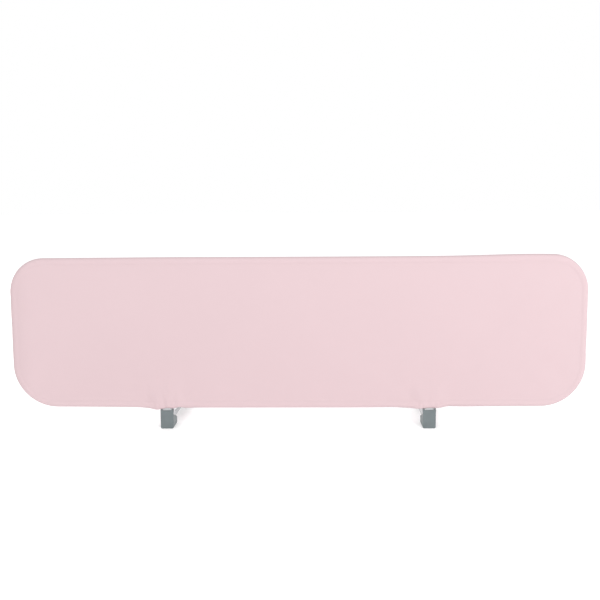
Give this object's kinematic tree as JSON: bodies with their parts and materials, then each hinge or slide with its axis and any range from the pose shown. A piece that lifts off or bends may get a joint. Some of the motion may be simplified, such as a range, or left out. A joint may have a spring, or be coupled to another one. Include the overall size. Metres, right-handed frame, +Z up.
{
  "type": "bed guard rail",
  "caption": "Fabric-covered bed guard rail: a rounded rectangular tube frame in a zipped cover on two fold-up legs that lie under the mattress.",
  "frame": {"origin": "middle of the bottom of the whole rail's bounding box", "axes": "+X along the rail, +Y towards the bed (the legs point that way), +Z up"},
  "size_m": [1.5, 0.405, 0.452],
  "materials": {
    "cover_fabric": "smooth matt pink woven polyester",
    "frame_tube": "light grey powder coat",
    "leg_paint": "light grey powder coat, satin",
    "hinge_plastic": "light grey moulded nylon",
    "shoe_plastic": "slate grey moulded, fine grain",
    "button_plastic": "darker slate grey moulded",
    "fastener_steel": "zinc plated",
    "pad_rubber": "matt ribbed",
    "zip_fabric": "pink zip tape and coil",
    "zip_metal": "pink lacquered zinc"
  },
  "bodies": {
    "panel": {"cover_front": "cover_fabric", "cover_back": "cover_fabric", "upper_left_tube": "frame_tube", "upper_right_tube": "frame_tube", "lower_left_tube": "frame_tube", "lower_right_tube": "frame_tube", "frame_ferrules": "frame_tube", "zip_tape": "zip_fabric", "zip_stops": "zip_metal", "left_knuckle": "hinge_plastic", "left_clamp": "hinge_plastic", "left_clamp_screws": "fastener_steel", "left_lock_spring": "fastener_steel", "right_knuckle": "hinge_plastic", "right_clamp": "hinge_plastic", "right_clamp_screws": "fastener_steel", "right_lock_spring": "fastener_steel"},
    "left_leg": {"left_fork": "hinge_plastic", "left_hinge_pin": "fastener_steel", "left_shoe": "shoe_plastic", "left_leg_tube": "leg_paint", "left_rear_foot": "shoe_plastic", "left_foot_pad": "pad_rubber", "left_grip_pad": "pad_rubber", "left_leg_rivets": "fastener_steel", "left_leg_screws": "fastener_steel"},
    "left_button": {"left_release_button": "button_plastic"},
    "left_lock": {"left_lock_ring": "fastener_steel"},
    "right_leg": {"right_fork": "hinge_plastic", "right_hinge_pin": "fastener_steel", "right_shoe": "shoe_plastic", "right_leg_tube": "leg_paint", "right_rear_foot": "shoe_plastic", "right_foot_pad": "pad_rubber", "right_grip_pad": "pad_rubber", "right_leg_rivets": "fastener_steel", "right_leg_screws": "fastener_steel"},
    "right_button": {"right_release_button": "button_plastic"},
    "right_lock": {"right_lock_ring": "fastener_steel"},
    "zip_slider": {"zip_slider": "zip_metal"},
    "zip_pull": {"zip_pull": "zip_metal"}
  },
  "joints": [
    {"name": "left_fold", "type": "hinge", "parent": "panel", "child": "left_leg", "pos_m": [-0.345, -0.1815, 0.043], "axis": [1, 0, 0], "range_deg": [0, 90]},
    {"name": "left_release", "type": "slide", "parent": "left_leg", "child": "left_button", "axis": [1, 0, 0], "range_m": [0, 0.0023], "stiffness_N_per_m": 1500, "springref_m": -0.004},
    {"name": "left_unlock", "type": "slide", "parent": "panel", "child": "left_lock", "axis": [1, 0, 0], "range_m": [0, 0.0023], "deforming": ["left_lock_spring"]},
    {"name": "right_fold", "type": "hinge", "parent": "panel", "child": "right_leg", "pos_m": [0.345, -0.1815, 0.043], "axis": [1, 0, 0], "range_deg": [0, 90]},
    {"name": "right_release", "type": "slide", "parent": "right_leg", "child": "right_button", "axis": [-1, 0, 0], "range_m": [0, 0.0023], "stiffness_N_per_m": 1500, "springref_m": -0.004},
    {"name": "right_unlock", "type": "slide", "parent": "panel", "child": "right_lock", "axis": [-1, 0, 0], "range_m": [0, 0.0023], "deforming": ["right_lock_spring"]},
    {"name": "zip_travel", "type": "slide", "parent": "panel", "child": "zip_slider", "axis": [-1, 0, 0], "range_m": [0, 0.587]},
    {"name": "zip_pull_swing", "type": "hinge", "parent": "zip_slider", "child": "zip_pull", "pos_m": [0.2937, -0.1768, 0.105], "axis": [0, 0, -1], "range_deg": [0, 170]}
  ],
  "couplings": [
    {"joint": "left_unlock", "follows": "left_release", "ratio": 1},
    {"joint": "right_unlock", "follows": "right_release", "ratio": 1}
  ]
}
